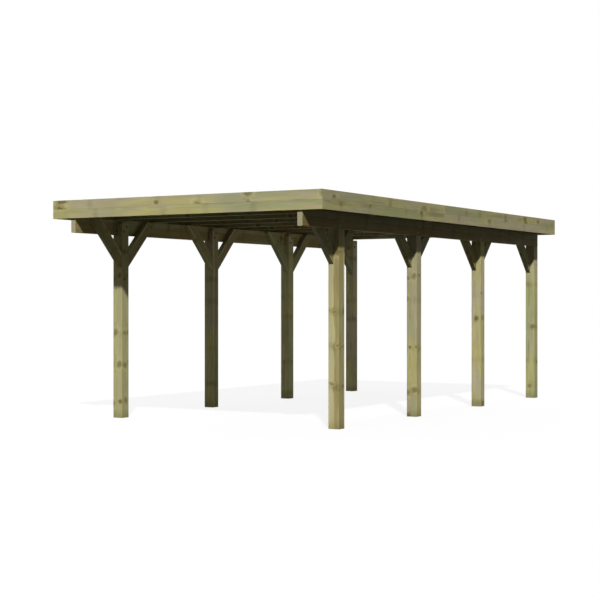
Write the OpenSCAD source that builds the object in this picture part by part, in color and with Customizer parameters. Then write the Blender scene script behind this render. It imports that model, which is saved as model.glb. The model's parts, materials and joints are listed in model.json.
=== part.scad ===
// Open carport with a flat roof, on two rows of timber posts.
// X runs across the drive (left is -X), Y from the front to the rear, Z up.
// The origin is on the ground, under the middle of the roof.

/* [Posts] */
// Side of a square post
post_size = 115; // [90:1:150]
// Distance between the two rows of posts, centre to centre
row_spacing = 2580; // [2200:5:3400]
// Distance between neighbouring posts of a row, centre to centre
post_pitch = 1685; // [1400:5:2200]
// Posts in a row
posts_per_row = 4; // [3:1:5]
// Height of the post above the shoulder that carries the purlin
tongue_rise = 125; // [80:1:150]

/* [Purlins] */
// Height of the purlins' underside above the ground
purlin_clearance = 1905; // [1600:5:2600]
// Depth of a purlin
purlin_depth = 160; // [140:1:240]
// Thickness of a purlin
purlin_thickness = 55; // [40:1:70]
// Gap between the purlins' rear ends and the rear fascia
purlin_rear_gap = 10.5; // [0:0.5:40]

/* [Knee braces] */
// Width of a brace, square to its length
brace_width = 110; // [70:1:140]
// Thickness of a brace
brace_thickness = 55; // [35:1:60]
// Distance from the purlin's underside down to the foot of a brace
brace_drop = 335; // [250:5:420]
// Distance from the top of a brace up to the top of the purlin
brace_top_gap = 5; // [2:1:30]

/* [Rafters] */
// Rafters across the roof
rafter_count = 10; // [8:1:14]
// Thickness of a rafter
rafter_thickness = 45; // [35:1:70]
// Depth of the front rafter, which is the highest
rafter_depth_front = 125; // [105:1:160]
// Depth of the rear rafter, which is the lowest
rafter_depth_rear = 95; // [70:1:100]

/* [Fascia] */
// Roof overhang from the front posts' centres
front_overhang = 757; // [600:1:1200]
// Roof overhang from the rear posts' centres
rear_overhang = 88; // [80:1:400]
// Roof overhang to each side from the posts' centres
side_overhang = 275; // [120:1:600]
// Height of one fascia board, of the two that lie on edge on each other
fascia_height = 91.5; // [70:0.5:120]
// Thickness of a fascia board
fascia_thickness = 20; // [16:1:30]
// How far the fascia hangs below the rafters' undersides
fascia_drop = 17; // [5:1:40]
// Rafter, counted from the front, at which the side fascia boards meet
joint_rafter = 5; // [3:1:7]

/* [Roof sheets] */
// Trapezoidal roof sheets side by side
sheet_count = 3; // [2:1:4]
// Ribs in a sheet
ribs_per_sheet = 14; // [8:1:18]
// Height of a rib
rib_height = 18; // [12:1:25]
// Width of the flat crown of a rib
rib_crown = 26; // [18:1:30]
// Width of one sloping side of a rib, as seen from above
rib_run = 9; // [6:1:12]
// Thickness of the metal
sheet_thickness = 0.7; // [0.5:0.1:1.5]
// Gap between the sheets' outer edges and the fascia
sheet_gap = 6; // [2:1:20]
// Clearance between the sheets and the rafters' tops
sheet_lift = 0.1; // [0:0.1:0.5]
// Clearance between two sheets where one rib lies over the other
lap_clearance = 0.3; // [0.1:0.1:1]

/* [Hidden] */
// Each side of the carport, with its direction along X
SIDES = [["left", -1], ["right", 1]];
// Each end of the carport, with its direction along Y
ENDS = [["front", -1], ["rear", 1]];
// Each course of fascia boards, with its place from the bottom
COURSES = [["lower", 0], ["upper", 1]];
// How far the end of a covered rib stops short of the rib over it
covered_rib_setback = 1.5;

roof_length = front_overhang + (posts_per_row - 1) * post_pitch + rear_overhang;
roof_width = row_spacing + 2 * side_overhang;

inner_front = -roof_length / 2 + fascia_thickness;
inner_rear = roof_length / 2 - fascia_thickness;
inner_length = inner_rear - inner_front;
inner_half_width = roof_width / 2 - fascia_thickness;

purlin_inner = row_spacing / 2 + post_size / 2 - purlin_thickness;
purlin_top = purlin_clearance + purlin_depth;
fascia_bottom = purlin_top - fascia_drop;

rafter_pitch = (inner_length - rafter_thickness) / (rafter_count - 1);
roof_fall = (rafter_depth_front - rafter_depth_rear) / inner_length;

brace_bottom = purlin_clearance - brace_drop;
brace_top = purlin_top - brace_top_gap;

sheets_left = sheet_gap - inner_half_width;
cover_width = -2 * sheets_left / sheet_count;
rib_pitch = cover_width / ribs_per_sheet;
sheet_front = inner_front + sheet_gap;
sheet_length = (inner_length - 2 * sheet_gap) / cos(atan(roof_fall));
rib_side_angle = atan(rib_height / rib_run);
covered_height = rib_height - sheet_thickness - lap_clearance;

// Place of the centre of post i along Y, counted from the front
function post_y(i) = -roof_length / 2 + front_overhang + (i - 1) * post_pitch;

// Place of the front face of rafter i along Y
function rafter_y(i) = inner_front + (i - 1) * rafter_pitch;

// Height of the plane that the rafters' tops lie in
function roof_plane(y) = purlin_top + rafter_depth_front - (y - inner_front) * roof_fall;

// Extrudes an outline in Y and Z along X, from x
module along_x(x, length) {
    translate([x, 0, 0])
        rotate([90, 0, 90])
            linear_extrude(height = length)
                children();
}

// Post with a notch in its outer side, which leaves a shoulder for the purlin
// and a tongue behind it
module post(direction, i) {
    notch_height = tongue_rise + 1;
    color([0.62, 0.60, 0.44])
        translate([direction * row_spacing / 2, post_y(i), 0])
            mirror([direction < 0 ? 1 : 0, 0, 0])
                difference() {
                    translate([-post_size / 2, -post_size / 2, 0])
                        cube([post_size, post_size, purlin_clearance + tongue_rise]);
                    translate([post_size / 2 - purlin_thickness, -post_size, purlin_clearance])
                        cube([purlin_thickness + 1, 2 * post_size, notch_height]);
                }
}

// Purlin on the shoulders of one row of posts, flush with their outer faces
module purlin(direction) {
    outer = row_spacing / 2 + post_size / 2;
    color([0.58, 0.54, 0.38])
        translate([direction > 0 ? purlin_inner : -outer, inner_front, purlin_clearance])
            cube([purlin_thickness, inner_length - purlin_rear_gap, purlin_depth]);
}

// Brace at 45 degrees from a post's front or rear face up against the inner
// face of the purlin, cut upright at the post and level at the top
module brace(direction, i, facing) {
    face = post_y(i) + facing * post_size / 2;
    upright_cut = brace_width * sqrt(2);
    lower_reach = brace_top - brace_bottom;
    upper_reach = lower_reach - upright_cut;
    along_x(direction > 0 ? purlin_inner - brace_thickness : -purlin_inner, brace_thickness)
        polygon([
            [face, brace_bottom],
            [face + facing * lower_reach, brace_top],
            [face + facing * upper_reach, brace_top],
            [face, brace_bottom + upright_cut]
        ]);
}

// Braces of one post: to the front and to the rear, and at the last post to
// the front only
module braces(direction, i) {
    color([0.55, 0.52, 0.38]) {
        brace(direction, i, -1);
        if (i < posts_per_row)
            brace(direction, i, 1);
    }
}

// Rafter across both purlins, with its top planed to the fall of the roof
module rafter(i) {
    front = rafter_y(i);
    rear = front + rafter_thickness;
    color([0.60, 0.53, 0.36])
        along_x(-inner_half_width, 2 * inner_half_width)
            polygon([
                [front, purlin_top],
                [rear, purlin_top],
                [rear, roof_plane(rear)],
                [front, roof_plane(front)]
            ]);
}

// Fascia board across the front or the rear, over the ends of the side boards
module end_fascia(facing, course) {
    color([0.66, 0.64, 0.46])
        translate([
            -roof_width / 2,
            facing > 0 ? inner_rear : -roof_length / 2,
            fascia_bottom + course * fascia_height
        ])
            cube([roof_width, fascia_thickness, fascia_height]);
}

// Fascia board along one side, from the front or the rear to the joint
module side_fascia(direction, facing, course) {
    joint = rafter_y(joint_rafter) + rafter_thickness / 2;
    start = facing > 0 ? joint : inner_front;
    finish = facing > 0 ? inner_rear : joint;
    color([0.52, 0.50, 0.37])
        translate([
            direction > 0 ? inner_half_width : -roof_width / 2,
            start,
            fascia_bottom + course * fascia_height
        ])
            cube([fascia_thickness, finish - start, fascia_height]);
}

// Corners of the sheet's underside, as [x, z, lean]. Lean is 1 at the corners
// of a side that rises to the right, -1 where it falls and 0 at a free edge.
function rib_corners(x) = [
    [x - rib_crown / 2 - rib_run, 0, 1],
    [x - rib_crown / 2, rib_height, 1],
    [x + rib_crown / 2, rib_height, -1],
    [x + rib_crown / 2 + rib_run, 0, -1]
];

// Left edge of sheet i: half a crown at the fascia, or a whole crown that
// covers the last rib of the sheet before
function left_corners(x, i) = [
    [i == 1 ? x : x - rib_crown / 2, rib_height, 0],
    [x + rib_crown / 2, rib_height, -1],
    [x + rib_crown / 2 + rib_run, 0, -1]
];

// Right edge of sheet i: half a crown at the fascia, or a lower crown under
// the first rib of the next sheet
function right_corners(x, i) =
    i == sheet_count ? [
        [x - rib_crown / 2 - rib_run, 0, 1],
        [x - rib_crown / 2, rib_height, 1],
        [x, rib_height, 0]
    ] : [
        [x - rib_crown / 2 - rib_run, 0, 1],
        [x - rib_crown / 2 - rib_run * (1 - covered_height / rib_height), covered_height, 1],
        [x + rib_crown / 2 - covered_rib_setback, covered_height, 0]
    ];

// Trapezoidal sheet that runs from the front to the rear down the roof's fall
module roof_sheet(i) {
    left = sheets_left + (i - 1) * cover_width;
    miter = sheet_thickness * tan(rib_side_angle / 2);
    corners = concat(
        left_corners(left, i),
        [for (rib = [1:ribs_per_sheet - 1], corner = rib_corners(left + rib * rib_pitch)) corner],
        right_corners(left + cover_width, i)
    );
    underside = [for (corner = corners) [corner[0], corner[1]]];
    upper_side = [for (k = [len(corners) - 1:-1:0])
        [corners[k][0] - corners[k][2] * miter, corners[k][1] + sheet_thickness]];
    color([0.30, 0.31, 0.32])
        translate([0, sheet_front, roof_plane(sheet_front) + sheet_lift])
            rotate([-atan(roof_fall), 0, 0])
                translate([0, sheet_length, 0])
                    rotate([90, 0, 0])
                        linear_extrude(height = sheet_length)
                            polygon(concat(underside, upper_side));
}

for (side = SIDES, i = [1:posts_per_row]) {
    post(side[1], i);
    braces(side[1], i);
}
for (side = SIDES) {
    purlin(side[1]);
}
for (i = [1:rafter_count]) {
    rafter(i);
}
for (end = ENDS, course = COURSES) {
    end_fascia(end[1], course[1]);
}
for (side = SIDES, end = ENDS, course = COURSES) {
    side_fascia(side[1], end[1], course[1]);
}
for (i = [1:sheet_count]) {
    roof_sheet(i);
}
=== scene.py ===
"""Looks of an open timber carport: planed and treated timbers, fixings and a metal roof.

Every timber is a copy of its construction solid with rounded arrises, drying checks
and its own place in the log, so that growth rings and knots run through it as in a
sawn piece. Fixings are placed by Geometry Nodes. Lengths are in metres.
"""

import json
import logging
import math
import random
import zlib
from collections.abc import Iterable, Sequence
from dataclasses import astuple, dataclass, field, replace
from enum import Enum
from typing import Any, ClassVar

import bmesh
import bpy
from mathutils import Matrix, Vector

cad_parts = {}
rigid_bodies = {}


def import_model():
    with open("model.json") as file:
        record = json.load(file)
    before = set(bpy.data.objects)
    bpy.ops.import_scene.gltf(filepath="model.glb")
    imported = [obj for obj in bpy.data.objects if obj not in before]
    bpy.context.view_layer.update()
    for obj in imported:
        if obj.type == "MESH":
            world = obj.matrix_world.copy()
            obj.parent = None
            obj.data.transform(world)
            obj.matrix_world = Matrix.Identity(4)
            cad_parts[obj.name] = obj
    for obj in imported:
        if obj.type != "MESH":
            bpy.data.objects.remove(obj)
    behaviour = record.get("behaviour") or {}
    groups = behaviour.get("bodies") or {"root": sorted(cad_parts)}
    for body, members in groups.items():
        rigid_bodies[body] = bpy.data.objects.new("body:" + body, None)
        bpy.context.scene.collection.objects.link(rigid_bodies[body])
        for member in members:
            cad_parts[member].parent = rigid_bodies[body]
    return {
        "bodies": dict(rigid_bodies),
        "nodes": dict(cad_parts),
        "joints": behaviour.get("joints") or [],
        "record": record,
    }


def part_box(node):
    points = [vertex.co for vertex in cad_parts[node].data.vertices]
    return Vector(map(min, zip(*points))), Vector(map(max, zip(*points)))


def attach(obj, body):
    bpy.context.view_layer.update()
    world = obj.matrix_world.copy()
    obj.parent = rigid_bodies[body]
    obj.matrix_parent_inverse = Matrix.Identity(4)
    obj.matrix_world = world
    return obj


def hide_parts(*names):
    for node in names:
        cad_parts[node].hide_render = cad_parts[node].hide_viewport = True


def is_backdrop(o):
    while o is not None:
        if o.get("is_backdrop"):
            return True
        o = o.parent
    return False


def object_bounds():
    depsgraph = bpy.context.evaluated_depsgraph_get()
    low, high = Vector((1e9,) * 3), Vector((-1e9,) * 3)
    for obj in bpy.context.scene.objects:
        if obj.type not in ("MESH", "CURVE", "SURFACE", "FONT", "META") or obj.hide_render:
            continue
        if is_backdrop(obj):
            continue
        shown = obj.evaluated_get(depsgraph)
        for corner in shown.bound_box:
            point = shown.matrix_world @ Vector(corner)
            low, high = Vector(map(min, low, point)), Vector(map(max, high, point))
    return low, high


LOG = logging.getLogger("carport")
BODY = "root"
UP = Vector((0.0, 0.0, 1.0))
POSTS_PER_ROW = 4
RAFTERS = 10
ROOF_SHEETS = 3
RIBS_PER_SHEET = 14

Shade = tuple[int, int, int]
Pair = tuple[float, float]
Triple = tuple[float, float, float]


class Side(Enum):
    """The long sides of the carport."""

    LEFT = "left"
    RIGHT = "right"

    @property
    def outward(self) -> int:
        """The sign of the direction away from the middle."""
        return 1 if self is Side.RIGHT else -1


class End(Enum):
    """The ends of the carport."""

    FRONT = "front"
    REAR = "rear"

    @property
    def facing(self) -> int:
        """The sign of the direction that the end faces."""
        return 1 if self is End.REAR else -1


class Course(Enum):
    """The two boards of the fascia, one above the other."""

    LOWER = "lower"
    UPPER = "upper"


def linear(level: int) -> float:
    """Turns a display level from 0 to 255 into a linear one from 0 to 1."""
    share = level / 255
    return share / 12.92 if share <= 0.04045 else ((share + 0.055) / 1.055) ** 2.4


def colour(shade: Shade) -> tuple[float, float, float, float]:
    """The linear colour, with an alpha of one, that shaders use for a display colour."""
    return linear(shade[0]), linear(shade[1]), linear(shade[2]), 1.0


# --------------------------------------------------------------------------
# Node trees written as expressions
# --------------------------------------------------------------------------


@dataclass(frozen=True)
class Value:
    """A socket of a node tree that Python operators can combine."""

    graph: "Graph"
    socket: bpy.types.NodeSocket

    def __add__(self, other: "Value | float") -> "Value":
        """Sum of two values."""
        return self.graph.math("ADD", self, other)

    __radd__ = __add__

    def __sub__(self, other: "Value | float") -> "Value":
        """Difference of two values."""
        return self.graph.math("SUBTRACT", self, other)

    def __rsub__(self, other: float) -> "Value":
        """Difference of a number and this value."""
        return self.graph.math("SUBTRACT", other, self)

    def __mul__(self, other: "Value | float") -> "Value":
        """Product of two values."""
        return self.graph.math("MULTIPLY", self, other)

    __rmul__ = __mul__

    def __truediv__(self, other: "Value | float") -> "Value":
        """Quotient of two values."""
        return self.graph.math("DIVIDE", self, other)

    def __rtruediv__(self, other: float) -> "Value":
        """Quotient of a number and this value."""
        return self.graph.math("DIVIDE", other, self)


class Graph:
    """A node tree with short calls that add nodes to it."""

    def __init__(self, tree: bpy.types.NodeTree) -> None:
        """Empties a tree, to fill it anew."""
        self.tree = tree
        tree.nodes.clear()

    def node(
        self,
        kind: str,
        settings: dict[str, Any] | None = None,
        sockets: dict[str | int, Any] | None = None,
    ) -> bpy.types.Node:
        """Adds one node.

        Args:
            kind: The node's type.
            settings: Its properties, set before its sockets.
            sockets: Values or links of its inputs, by name or number.

        Returns:
            The new node.
        """
        made = self.tree.nodes.new(kind)
        for name, setting in (settings or {}).items():
            setattr(made, name, setting)
        for name, given in (sockets or {}).items():
            source = given.socket if isinstance(given, Value) else given
            if isinstance(source, bpy.types.NodeSocket):
                self.tree.links.new(source, made.inputs[name])
            else:
                made.inputs[name].default_value = source
        return made

    def out(self, made: bpy.types.Node, name: str | int = 0) -> Value:
        """One output of a node, as a value."""
        return Value(self, made.outputs[name])

    def math(self, operation: str, *terms: "Value | float", clamp: bool = False) -> Value:
        """Adds a Math node.

        Args:
            operation: What the node works out.
            *terms: Its inputs, in order.
            clamp: Whether the result is kept from 0 to 1.

        Returns:
            The result.
        """
        settings = {"operation": operation, "use_clamp": clamp}
        return self.out(self.node("ShaderNodeMath", settings, dict(enumerate(terms))))

    def vector(self, operation: str, *terms: Any, output: str = "Vector") -> Value:
        """Adds a Vector Math node and gives its result, or its Value output."""
        made = self.node("ShaderNodeVectorMath", {"operation": operation}, dict(enumerate(terms)))
        return self.out(made, output)

    def scale(self, source: Any, factor: "Value | float") -> Value:
        """Makes a vector or a colour longer or shorter."""
        made = self.node("ShaderNodeVectorMath", {"operation": "SCALE"}, {0: source, 3: factor})
        return self.out(made, "Vector")

    def scatter(self, source: Any, axes: str = "3D") -> tuple[Value, Value, Value]:
        """Draws three random numbers from 0 to 1.

        Args:
            source: The vector, or number, that each has its own draw.
            axes: "3D" for a vector and "1D" for a number.

        Returns:
            The three numbers.
        """
        socket = "W" if axes == "1D" else "Vector"
        made = self.node("ShaderNodeTexWhiteNoise", {"noise_dimensions": axes}, {socket: source})
        return self.split(self.out(made, "Color"))

    def join(self, x: Any, y: Any, z: Any) -> Value:
        """Makes a vector of three numbers or values."""
        return self.out(self.node("ShaderNodeCombineXYZ", None, {0: x, 1: y, 2: z}))

    def split(self, source: Value) -> tuple[Value, Value, Value]:
        """Takes a vector apart."""
        made = self.node("ShaderNodeSeparateXYZ", None, {0: source})
        return self.out(made, 0), self.out(made, 1), self.out(made, 2)

    def ramp(self, source: "Value | float", low: float, high: float) -> Value:
        """Goes smoothly from 0 where the source is at low to 1 where it is at high.

        Args:
            source: The value to read.
            low: The value that gives 0.
            high: The value that gives 1, which may be under low.

        Returns:
            A value from 0 to 1.
        """
        settings = {"interpolation_type": "SMOOTHSTEP"}
        falling = low > high
        ends = {1: min(low, high), 2: max(low, high), 3: float(falling), 4: float(not falling)}
        return self.out(self.node("ShaderNodeMapRange", settings, {0: source, **ends}))

    def noise(self, place: Value, scale: float = 1.0, detail: float = 2.0) -> Value:
        """Noise from 0 to 1 with its mean at a half."""
        sockets = {"Vector": place, "Scale": scale, "Detail": detail, "Roughness": 0.55}
        return self.out(self.node("ShaderNodeTexNoise", None, sockets))

    def blend(self, share: Any, first: Any, second: Any) -> Value:
        """Mixes two colours.

        Args:
            share: How much of the second colour is used.
            first: The colour at a share of 0.
            second: The colour at a share of 1.

        Returns:
            The mixed colour.
        """
        made = self.node(
            "ShaderNodeMix", {"data_type": "RGBA"}, {0: share, 6: first, 7: second}
        )
        return self.out(made, 2)

    def tint(self, tone: Value, share: "Value | float", shade: Shade) -> Value:
        """Lays a share of a display colour over a tone."""
        return self.blend(share, tone, colour(shade))


class Surface(Graph):
    """The node tree of a new material."""

    def __init__(self, name: str) -> None:
        """Makes the material, with an empty tree.

        Args:
            name: The material's name.
        """
        self.material = bpy.data.materials.new(name)
        self.material.use_nodes = True
        super().__init__(self.material.node_tree)

    def place(self) -> Value:
        """Object coordinates."""
        return self.out(self.node("ShaderNodeTexCoord"), "Object")

    def attribute(self, name: str, output: str) -> Value:
        """Reads an attribute of the mesh."""
        return self.out(self.node("ShaderNodeAttribute", {"attribute_name": name}), output)

    def finish(self, height: Value | None, depth: float, **sockets: Any) -> bpy.types.Material:
        """Ends the tree in a Principled shader.

        Args:
            height: Relief of the surface, from 0 to 1, if it has any.
            depth: How deep the relief is.
            **sockets: The shader's inputs, with underscores for spaces.

        Returns:
            The finished material.
        """
        named = {name.replace("_", " "): given for name, given in sockets.items()}
        if height is not None:
            relief = self.node("ShaderNodeBump", None, {"Distance": depth, "Height": height})
            named["Normal"] = self.out(relief)
        shader = self.node("ShaderNodeBsdfPrincipled", None, named)
        self.node("ShaderNodeOutputMaterial", None, {"Surface": self.out(shader)})
        return self.material


# --------------------------------------------------------------------------
# Finishes
# --------------------------------------------------------------------------


@dataclass(frozen=True)
class Pattern:
    """Noise drawn out along the grain.

    It holds how often the noise changes along and across the log, per metre, a move
    that makes it differ from the others, and how many finer layers it has.
    """

    along: float
    across: float
    shift: Triple = (0.0, 0.0, 0.0)
    detail: float = 2.0


@dataclass(frozen=True)
class Grain:
    """The place in the log that a timber's shader works at: along it and across it."""

    surface: Surface
    along: Value
    side: Value
    through: Value

    SIDE_BEND: ClassVar[Pattern] = Pattern(1.1, 4.0)
    THROUGH_BEND: ClassVar[Pattern] = Pattern(1.1, 4.0, shift=(7.3, 2.1, 5.2))
    BEND: ClassVar[float] = 0.03

    def noise(self, pattern: Pattern) -> Value:
        """Reads a pattern.

        Args:
            pattern: The pattern.

        Returns:
            A value from 0 to 1.
        """
        across = (self.side * pattern.across, self.through * pattern.across)
        spot = self.surface.join(self.along * pattern.along, *across)
        if any(pattern.shift):
            spot = self.surface.vector("ADD", spot, pattern.shift)
        return self.surface.noise(spot, detail=pattern.detail)

    def radius(self) -> Value:
        """The distance from the pith."""
        across = self.surface.join(0.0, self.side, self.through)
        return self.surface.vector("LENGTH", across, output="Value")

    def bent(self) -> "Grain":
        """The same place in a log that isn't quite straight.

        Returns:
            The grain with its place across the log swaying along the log.
        """
        side_bend = (self.noise(self.SIDE_BEND) - 0.5) * self.BEND
        through_bend = (self.noise(self.THROUGH_BEND) - 0.5) * self.BEND
        return replace(self, side=self.side + side_bend, through=self.through + through_bend)


@dataclass(frozen=True)
class Branch:
    """What a timber's shader knows of the nearest branch.

    That is the distance from its middle in its radii, its radius, how near its ring
    of branches is, and how dark its knot is.
    """

    reach: Value
    radius: Value
    whorl: Value
    dark: Value


@dataclass(frozen=True)
class Figure:
    """The patterns of a timber that its colour, relief and gloss share."""

    sap: Value
    latewood: Value
    streaks: Value
    cloud: Value
    checks: Value
    ripple: Value
    core: Value
    rim: Value
    end_cut: Value


@dataclass(frozen=True)
class TreatedTimber:
    """Planed softwood, pressure treated, with rings, heartwood and knots all through.

    It reads attributes of the mesh: "grain", the place along the log and across it
    from the pith, "piece", how light, green and grey the timber is, with painted
    light or shade in the lightness of some pieces, "knotty", the share of branches
    that left a knot, and "end_cut", one on a sawn end.
    """

    name: str
    yellow: Shade = (184, 176, 118)
    grey: Shade = (178, 169, 136)
    green: Shade = (150, 157, 112)
    heartwood: Shade = (150, 139, 94)
    late_growth: Shade = (90, 84, 46)
    early_growth: Shade = (236, 230, 194)
    # The dark colour of the fine checks is painted shade inside them.
    check: Shade = (66, 62, 38)
    knot: Shade = (104, 93, 50)
    knot_ring: Shade = (132, 116, 68)
    knot_rim: Shade = (56, 49, 28)
    knot_halo: Shade = (118, 111, 58)
    knot_flare: Shade = (206, 196, 142)
    sawn_end: Shade = (166, 161, 132)
    end_ring: Shade = (112, 98, 66)
    damp: Shade = (86, 80, 50)
    heart_radius: float = 0.056
    heart_blur: float = 0.004
    ring_width: float = 0.0042
    whorl_spacing: float = 0.42
    whorl_turn: float = 2.4
    whorl_sway: float = 0.22
    branches: int = 7
    branch_rise: float = 0.25
    branch_scatter: float = 0.055
    knot_radius: float = 0.022
    knot_stretch: float = 1.15
    contrast: float = 1.0
    relief_depth: float = 0.0006
    damp_height: float = 0.0

    WOBBLE: ClassVar[Pattern] = Pattern(22.0, 34.0)
    RIPPLE: ClassVar[Pattern] = Pattern(9.0, 40.0)
    SAP_EDGE: ClassVar[Pattern] = Pattern(2.3, 11.0, shift=(5.0, 0.0, 0.0))
    CHECKS: ClassVar[Pattern] = Pattern(1.4, 95.0, shift=(3.0, 0.0, 0.0), detail=1.0)
    STREAKS: ClassVar[Pattern] = Pattern(5.0, 260.0, detail=3.0)
    CLOUD: ClassVar[Pattern] = Pattern(2.6, 14.0, shift=(11.0, 0.0, 0.0))
    PATCH: ClassVar[Pattern] = Pattern(0.9, 7.0, shift=(31.0, 0.0, 0.0))
    HAZE: ClassVar[Pattern] = Pattern(1.5, 6.0, shift=(17.0, 0.0, 0.0))
    BRANCH_GROWTH: ClassVar[Pair] = (0.0, 0.05)
    KNOT_LEFT: ClassVar[Pair] = (1.0, 1.03)
    WHORL_REACH: ClassVar[Pair] = (0.06, 0.0)
    LATE_RISE: ClassVar[Pair] = (0.35, 0.92)
    LATE_FALL: ClassVar[Pair] = (1.0, 0.95)
    CHECK_EDGE: ClassVar[Pair] = (0.735, 0.78)
    KNOT_EDGE: ClassVar[Pair] = (1.0, 0.84)
    RIM_EDGE: ClassVar[Pair] = (0.6, 0.88)
    GREEN_EDGE: ClassVar[Pair] = (0.46, 0.68)
    GREY_EDGE: ClassVar[Pair] = (0.42, 0.62)
    FLARE_START: ClassVar[Pair] = (1.2, 2.0)
    FLARE_END: ClassVar[Pair] = (3.2, 2.0)
    HALO_EDGE: ClassVar[Pair] = (3.0, 0.9)
    LEAST_KNOT: ClassVar[float] = 0.0001
    LATE_SHARE: ClassVar[float] = 0.24
    STREAK_SHARE: ClassVar[float] = 0.34
    CLOUD_SHARE: ClassVar[float] = 0.4

    def branch(self, grain: Grain) -> Branch:
        """Finds the nearest branch, in rings of branches that run out from the pith.

        Args:
            grain: The place in the log.

        Returns:
            What the shader needs to know of the branch.
        """
        surface, along = grain.surface, grain.along
        number = surface.math("FLOOR", along / self.whorl_spacing)
        sway = surface.math("SINE", number * self.whorl_turn) * self.whorl_sway
        height = (number + 0.5 + sway) * self.whorl_spacing
        spin, stain, _ = surface.scatter(number, "1D")
        turn = surface.math("ARCTAN2", grain.through, grain.side) / math.tau
        place = (turn + spin) * self.branches
        nearest = surface.math("ROUND", place)
        which = surface.math("WRAP", nearest, float(self.branches), 0.0)
        sway_round, size, chance = surface.scatter(surface.join(number, which, 0.0))
        dark, sway_along, _ = surface.scatter(surface.join(number, which, 1.0))

        radius = grain.radius()
        rise = along - height - radius * self.branch_rise
        off_turn = (place - nearest - (sway_round - 0.5) * 0.5) * (math.tau / self.branches)
        off_round = surface.math("SINE", off_turn) * radius
        off_along = (rise - (sway_along - 0.5) * self.branch_scatter) / self.knot_stretch
        wobble = grain.noise(self.WOBBLE) - 0.5
        away = surface.math("SQRT", off_along * off_along + off_round * off_round)
        away = away * (1 + wobble * 1.3)
        knotty = surface.attribute("knotty", "Fac")
        grown = surface.ramp(radius, *self.BRANCH_GROWTH)
        grown = grown * surface.ramp(chance + knotty, *self.KNOT_LEFT)
        thickness = (0.3 + 0.7 * size) * self.knot_radius * grown + self.LEAST_KNOT
        near_whorl = surface.ramp(surface.math("ABSOLUTE", rise), *self.WHORL_REACH)
        whorl = near_whorl * (stain * 0.8 + 0.35)
        return Branch(away / thickness, thickness, whorl, dark * 0.6 + 0.4)

    def figure(self, grain: Grain, branch: Branch, radius: Value) -> Figure:
        """Works out rings, heartwood, streaks, fine checks and the parts of a knot.

        Args:
            grain: The place in the straight log.
            branch: The nearest branch.
            radius: The distance from the pith of the bent log.

        Returns:
            The patterns.
        """
        surface = grain.surface
        nearness = 1 / (branch.reach + 1.0)
        swell = nearness * nearness * branch.radius
        ripple = grain.noise(self.RIPPLE) - 0.5
        years = (radius - swell * 1.6 + ripple * 0.0016) / self.ring_width
        uneven = surface.noise(surface.join(years * 0.31, 0.0, 0.0), detail=1.0) * 2.0
        ring = surface.math("FRACT", years + uneven)
        edge = grain.noise(self.SAP_EDGE) - 0.5
        sap_edge = radius + edge * 0.05 - branch.whorl * 0.012
        sap_ends = (self.heart_radius - self.heart_blur, self.heart_radius + self.heart_blur)
        core = surface.ramp(branch.reach, *self.KNOT_EDGE)
        return Figure(
            sap=surface.ramp(sap_edge, *sap_ends),
            latewood=surface.ramp(ring, *self.LATE_RISE) * surface.ramp(ring, *self.LATE_FALL),
            streaks=grain.noise(self.STREAKS),
            cloud=grain.noise(self.CLOUD),
            checks=surface.ramp(grain.noise(self.CHECKS), *self.CHECK_EDGE),
            ripple=ripple,
            core=core,
            rim=core * surface.ramp(branch.reach, *self.RIM_EDGE),
            end_cut=surface.attribute("end_cut", "Fac"),
        )

    def base_tone(self, grain: Grain, sap: Value) -> Value:
        """Mixes the slow changes of colour from end to end of a timber.

        Args:
            grain: The place in the log.
            sap: One in sapwood and zero in heartwood.

        Returns:
            The colour, lightened as the timber asks.
        """
        surface = grain.surface
        light, green, grey = surface.split(surface.attribute("piece", "Vector"))
        patch = grain.noise(self.PATCH)
        haze = grain.noise(self.HAZE)
        patches = surface.ramp(patch, *self.GREEN_EDGE) * 0.6
        greened = surface.math("ADD", patches, green, clamp=True)
        greyed = surface.math("ADD", surface.ramp(haze, *self.GREY_EDGE), grey, clamp=True)
        tone = surface.blend(greyed, colour(self.yellow), colour(self.grey))
        tone = surface.tint(tone, 1 - sap, self.heartwood)
        tone = surface.tint(tone, greened, self.green)
        return surface.scale(tone, light + 1.0)

    def growth_tone(self, surface: Surface, tone: Value, branch: Branch, figure: Figure) -> Value:
        """Darkens and lightens a tone by its growth, and draws its fine checks in painted shade.

        Args:
            surface: The tree to build in.
            tone: The colour so far.
            branch: The nearest branch.
            figure: The timber's patterns.

        Returns:
            The colour.
        """
        cloud = figure.cloud
        dark = figure.latewood * self.LATE_SHARE + (figure.streaks - 0.5) * self.STREAK_SHARE
        dark = dark + (cloud - 0.5) * self.CLOUD_SHARE
        dark = dark * self.contrast + branch.whorl * (cloud * 1.1 - 0.3)
        tone = surface.tint(tone, surface.math("MAXIMUM", dark, 0.0), self.late_growth)
        tone = surface.tint(tone, surface.math("MAXIMUM", 0.0 - dark, 0.0), self.early_growth)
        # Painted shade in the fine checks.
        return surface.tint(tone, figure.checks * 0.5, self.check)

    def knot_tone(self, surface: Surface, tone: Value, branch: Branch, figure: Figure) -> Value:
        """Draws a knot: the pale flare and dark halo round it, its rings and its rim.

        Args:
            surface: The tree to build in.
            tone: The colour so far.
            branch: The nearest branch.
            figure: The timber's patterns.

        Returns:
            The colour.
        """
        reach, core = branch.reach, figure.core
        flare = surface.ramp(reach, *self.FLARE_END) * surface.ramp(reach, *self.FLARE_START)
        halo = surface.ramp(reach, *self.HALO_EDGE) * (1 - core) * (figure.cloud + 0.25)
        rings = surface.math("FRACT", reach * 3.3 + figure.ripple * 0.8)
        tone = surface.tint(tone, flare * 0.3, self.knot_flare)
        tone = surface.tint(tone, halo * branch.dark * 0.8, self.knot_halo)
        tone = surface.tint(tone, core * branch.dark * 0.9, self.knot)
        tone = surface.tint(tone, core * rings * 0.3, self.knot_ring)
        return surface.tint(tone, figure.rim * branch.dark * 0.65, self.knot_rim)

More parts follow.
